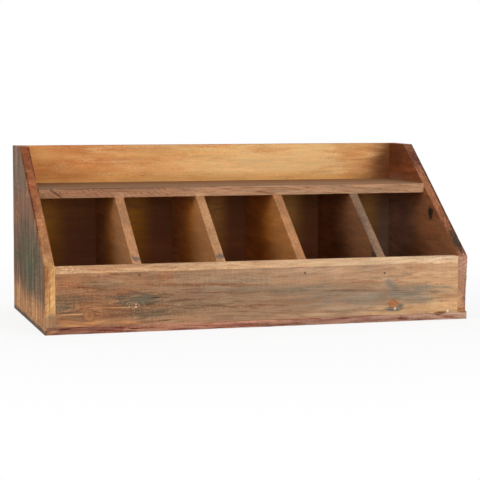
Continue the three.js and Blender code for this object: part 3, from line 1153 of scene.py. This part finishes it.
def back_board():
    board = Board("back_board", X, Y, (3, 2, 2.5), 5, edge=0.5, chips=0.1, grain=0.1)
    face = shades((225, 179, 119), 0.03)
    edge = shades((160, 102, 60), 0.1)
    grain = {"pith": (-60, 110), "spacing": 6, "sway": 14, "tear": (50, 9), "spread": 0.04}
    wood = Wood("back_wood", board, face, edge, **grain)
    inner = board.low[Y]
    outer = board.high[Y]

    on_face = partial(wood.stain_and_shading_on, "face", Y, inner, SKIN)
    on_outside = partial(wood.stain_and_shading_on, "face", Y, outer, SKIN)
    # Painted shade: the inner face below the shelf is painted darker than the strip above it, for the shade
    # in the compartments
    on_face((164, 108, 76), [(0, 85, 2000, 88, 1)], soft=0.05, ragged=0.05)
    # Painted light: paler at the back of the right-hand compartment
    on_face((193, 158, 132), [(250, 95, 66, 76, 0.95)], soft=0.1, ragged=0.1)
    # Painted shadow of the shelf: darker towards the top of the compartments' back
    on_face((136, 90, 56), [(0, 168, 2000, 44, 0.8)], soft=0.9, ragged=0.1)
    # Painted light: lighter bands at the left of each compartment's back, olive in the two left compartments
    # and tan in the others
    painted_light_olive = [(-250, 118, 17, 80, 0.9), (-120, 118, 17, 80, 1)]
    on_face((204, 143, 58), painted_light_olive, soft=0.9, ragged=0.15)
    painted_light_tan = [(4, 118, 14, 80, 0.9), (122, 118, 16, 80, 1), (250, 118, 14, 80, 1)]
    on_face((216, 160, 90), painted_light_tan, soft=0.9, ragged=0.15)
    on_face((221, 178, 123), [(0, 213, 2000, 42, 1)], soft=0.05, ragged=0.05)
    west = [(-290, 215, 170, 60, 0.95), (-120, 215, 100, 40, 0.55)]
    on_face((204, 134, 77), west, soft=0.9, ragged=0.6)
    on_face((204, 146, 90), [(234, 212, 36, 50, 0.75)], soft=0.5)
    # Painted shade: a darker line along the back just above the shelf
    on_face((196, 140, 78), [(0, 186, 2000, 9, 0.75)], soft=0.9, ragged=0.3)
    on_face((194, 122, 64), [(-256, 198, 60, 12, 0.6)], soft=0.9)
    gold = [(-262, 225, 22, 8, 0.5), (-20, 228, 60, 7, 0.4), (-105, 225, 40, 5, 0.5)]
    on_face((222, 168, 102), gold, soft=0.9)
    orange = [(-150, 204, 50, 7, 0.5), (70, 232, 50, 6, 0.4), (-80, 228, 40, 5, 0.4)]
    on_face((208, 142, 82), orange, soft=0.9)
    red_streaks = [
        (-110, 219, 60, 2.5, 0.4),
        (-168, 215, 40, 3.5, 0.6),
        (-184, 236, 56, 5, 0.75),
        (-60, 222, 40, 2.5, 0.3),
        (-120, 236, 42, 3, 0.35),
        (10, 238, 70, 2, 0.35),
        (90, 231, 26, 3, 0.3),
        (224, 222, 16, 3, 0.5),
        (250, 206, 14, 7, 0.5),
        (246, 232, 16, 2.5, 0.5),
        (236, 214, 20, 2, 0.5),
        (180, 196, 40, 1.6, 0.3),
    ]
    on_face((182, 108, 62), red_streaks, soft=0.9, streaks=0.5)
    on_face((112, 62, 36), [(-254, 211, 15, 5, 0.8)], specks=True)
    # Partly a dark stain and partly painted shadow, which the right side casts on the back's right end
    on_face((130, 77, 45), [(308, 211, 50, 44, 0.95)], soft=0.4, ragged=0.12)
    # Painted shadow: darker low in the right-hand corner above the shelf
    on_face((126, 76, 44), [(286, 184, 52, 22, 0.8)], soft=0.9, ragged=0.2)
    on_outside((164, 122, 84), [(0, 120, 800, 400, 0.95)], ragged=0.2)
    on_outside((132, 98, 70), [(-80, 150, 150, 26, 0.6)], ragged=1.5)
    on_outside((146, 96, 62), [(150, 60, 120, 20, 0.6)], ragged=1.5)
    wood.knot((-150, outer, 96), 10, (124, 78, 48), (78, 48, 32))
    wood.knot((196, outer, 150), 7, (112, 70, 44), (74, 46, 30))
    fade = (Y, inner, outer, 1, 6)
    material = wood.finish((140, 82, 48), 0.5, fade=fade, ring=0.08, line=0.1, grit=0.1)
    make_board(board, material)


# The shelf's front edge was sawn across its grain: steeply at the left, and nearly along it to the right
SHELF_LEAN = 0.1
SHELF_STEEP = 0.55
SHELF_TURN = -100
SAW_DEPTH = 0.12


def shelf_grooves(points):
    """Saw marks on the shelf's front edge."""
    lean = SHELF_LEAN * points[:, X] + SHELF_STEEP * np.minimum(points[:, X] - SHELF_TURN, 0)
    waves = np.sin((points[:, Z] + lean) * 1.3 + 2 * cell_noise(points / 14, 71))
    return SAW_DEPTH * (0.5 + 0.5 * waves) * (points[:, Y] < points[:, Y].min() + 1)


def shelf_lines(wood):
    """Dark grain lines that cross the shelf's front edge the way its saw marks do."""
    x, y, z = wood.axes
    lean = x * SHELF_LEAN + calculate("MINIMUM", x - SHELF_TURN, 0) * SHELF_STEEP
    drift = wood.noise(60, 14) - 0.5
    rings = calculate("FRACT", (z + lean) * 0.16 + drift * 2.5)
    dark = ease(rings, 0.6, 0.92) - ease(rings, 0.94, 1)
    return dark * ease(wood.torn, 0.42, 0.6) * 0.6


def shelf_board():
    board = Board("shelf_board", X, Z, (2, 2.5, 1.6), 6, edge=0.6, chips=0.2, grain=0.22)
    face = shades((129, 93, 65), 0.12)
    edge = shades((163, 122, 92), 0.1)
    wood = Wood("shelf_wood", board, face, edge, pith=(30, 60), spacing=3)
    front = board.low[Y]
    top = board.high[Z]
    board.grooves = shelf_grooves
    board.cracks = [((-120, 40, top), (10, 40, top), 0.8)]

    on_edge = partial(wood.stain_and_shading_on, "edge", Y, front, 20)
    wood.stain_and_shading("face", (140, 98, 64), [((0, 60, board.low[Z]), (800, 400, 8), 0.8)], ragged=0.3)
    wood.stain_and_shading("face", (139, 100, 71), [((180, 40, top), (140, 200, 6), 0.8)], soft=0.9)
    on_edge((150, 106, 78), [(-220, 178, 110, 30, 0.8)], soft=0.9)
    on_edge((170, 132, 101), [(200, 178, 130, 30, 0.7)], soft=0.9)
    on_edge((84, 58, 44), [(-262, 178, 12, 1.2, 0.85)], lean=0.55, ragged=0.3)
    on_edge((92, 62, 46), [(-200, 184.6, 110, 1.2, 0.8)], ragged=0.4)
    over_dividers = [(x, 172, 6.5, 4, 0.7) for x in (-172, -55, 60)]
    on_edge((188, 146, 111), over_dividers, soft=0.6)
    material = wood.finish((118, 82, 60), 0.25, line=0.35, lines=shelf_lines)
    make_board(board, material)


def divider(number, face_tone, edge_tone):
    board = Board(f"divider_{number}", Y, X, (2, 3, 2), 6 + number, edge=0.5, chips=0.15, grain=0.14)
    face = shades(face_tone, 0.07)
    edge = shades(edge_tone, 0.1)
    wood = Wood(f"divider_{number}_wood", board, face, edge, pith=(10, 50), spacing=3.8, sway=20)
    middle = (board.low[X] + board.high[X]) / 2
    front = board.low[Y]
    # Painted light: each face is painted paler at its deep back end, lifting the shade there
    pale = np.array(face_tone) * (1.18, 1.22, 1.3)
    # Painted light: a warmer, yellower band where the lit front of the face meets its shade
    painted_light_band = np.array(face_tone) * (1.02, 0.9, 0.55)
    wood.stain_and_shading("face", pale, [((middle, 126, 90), (30, 64, 300), 0.85)], soft=0.9, ragged=0.2)
    wood.stain_and_shading("face", painted_light_band, [((middle, 32, 100), (30, 34, 300), 0.8)], soft=0.9, ragged=0.2)
    if number in (1, 2):
        spot = ((middle + 1, front + 6, 97), (6, 8, 4), 0.85)
        wood.stain_and_shading("edge", (86, 82, 78), [spot], ragged=0.6)
    if number == 4:
        wood.stain_and_shading("face", (98, 66, 49), [((board.low[X], 24, 110), (SKIN, 34, 70), 0.7)], soft=0.9)
        wood.stain_and_shading("face", INK, [((board.low[X], front + 8, 92), (SKIN, 12, 14), 0.7)])
        wood.stain_and_shading("edge", (112, 92, 78), [((middle, -60, 140), (12, 30, 26), 0.6)])
        wood.stain_and_shading("edge", (92, 74, 64), [((board.low[X], -70, 128), (5, 60, 40), 0.75)])
    material = wood.finish((140, 100, 74), 0.3, calm=-0.8, ring=0.12, line=0.2, grit=0.25)
    make_board(board, material)


def nail_steel():
    paint = Paint("nail_steel")
    scaled = calculate_vector("MULTIPLY", paint.place, (1.4, 1.4, 1.4))
    rust = paint.noise_at(scaled, 3.0, 0.6)
    colour = paint.ramp(rust, [(78, 58, 46), (98, 68, 50), (126, 84, 58)], 0.35, 0.7)
    normal = paint.bump(rust, 0.4, 0.1)
    return paint.shader(colour, ease(rust, 0.3, 0.7, 0.5, 0.8), normal, 0.4, 0.6)


bpy.context.scene.view_settings.view_transform = "Standard"
aim_camera()
light_world()
for softbox_name, softbox in SOFTBOXES.items():
    hang_softbox(softbox_name, *softbox)
lay_floor()
base_board()
left_side()
right_side()
front_board()
back_board()
shelf_board()
divider(1, (167, 117, 76), (167, 120, 85))
divider(2, (175, 120, 73), (172, 127, 90))
divider(3, (171, 113, 62), (167, 118, 81))
divider(4, (128, 85, 56), (138, 107, 84))
steel = nail_steel()
for nail_node, (nail_head, nail_way) in NAILS.items():
    make_nail(nail_node, nail_head, nail_way, steel)
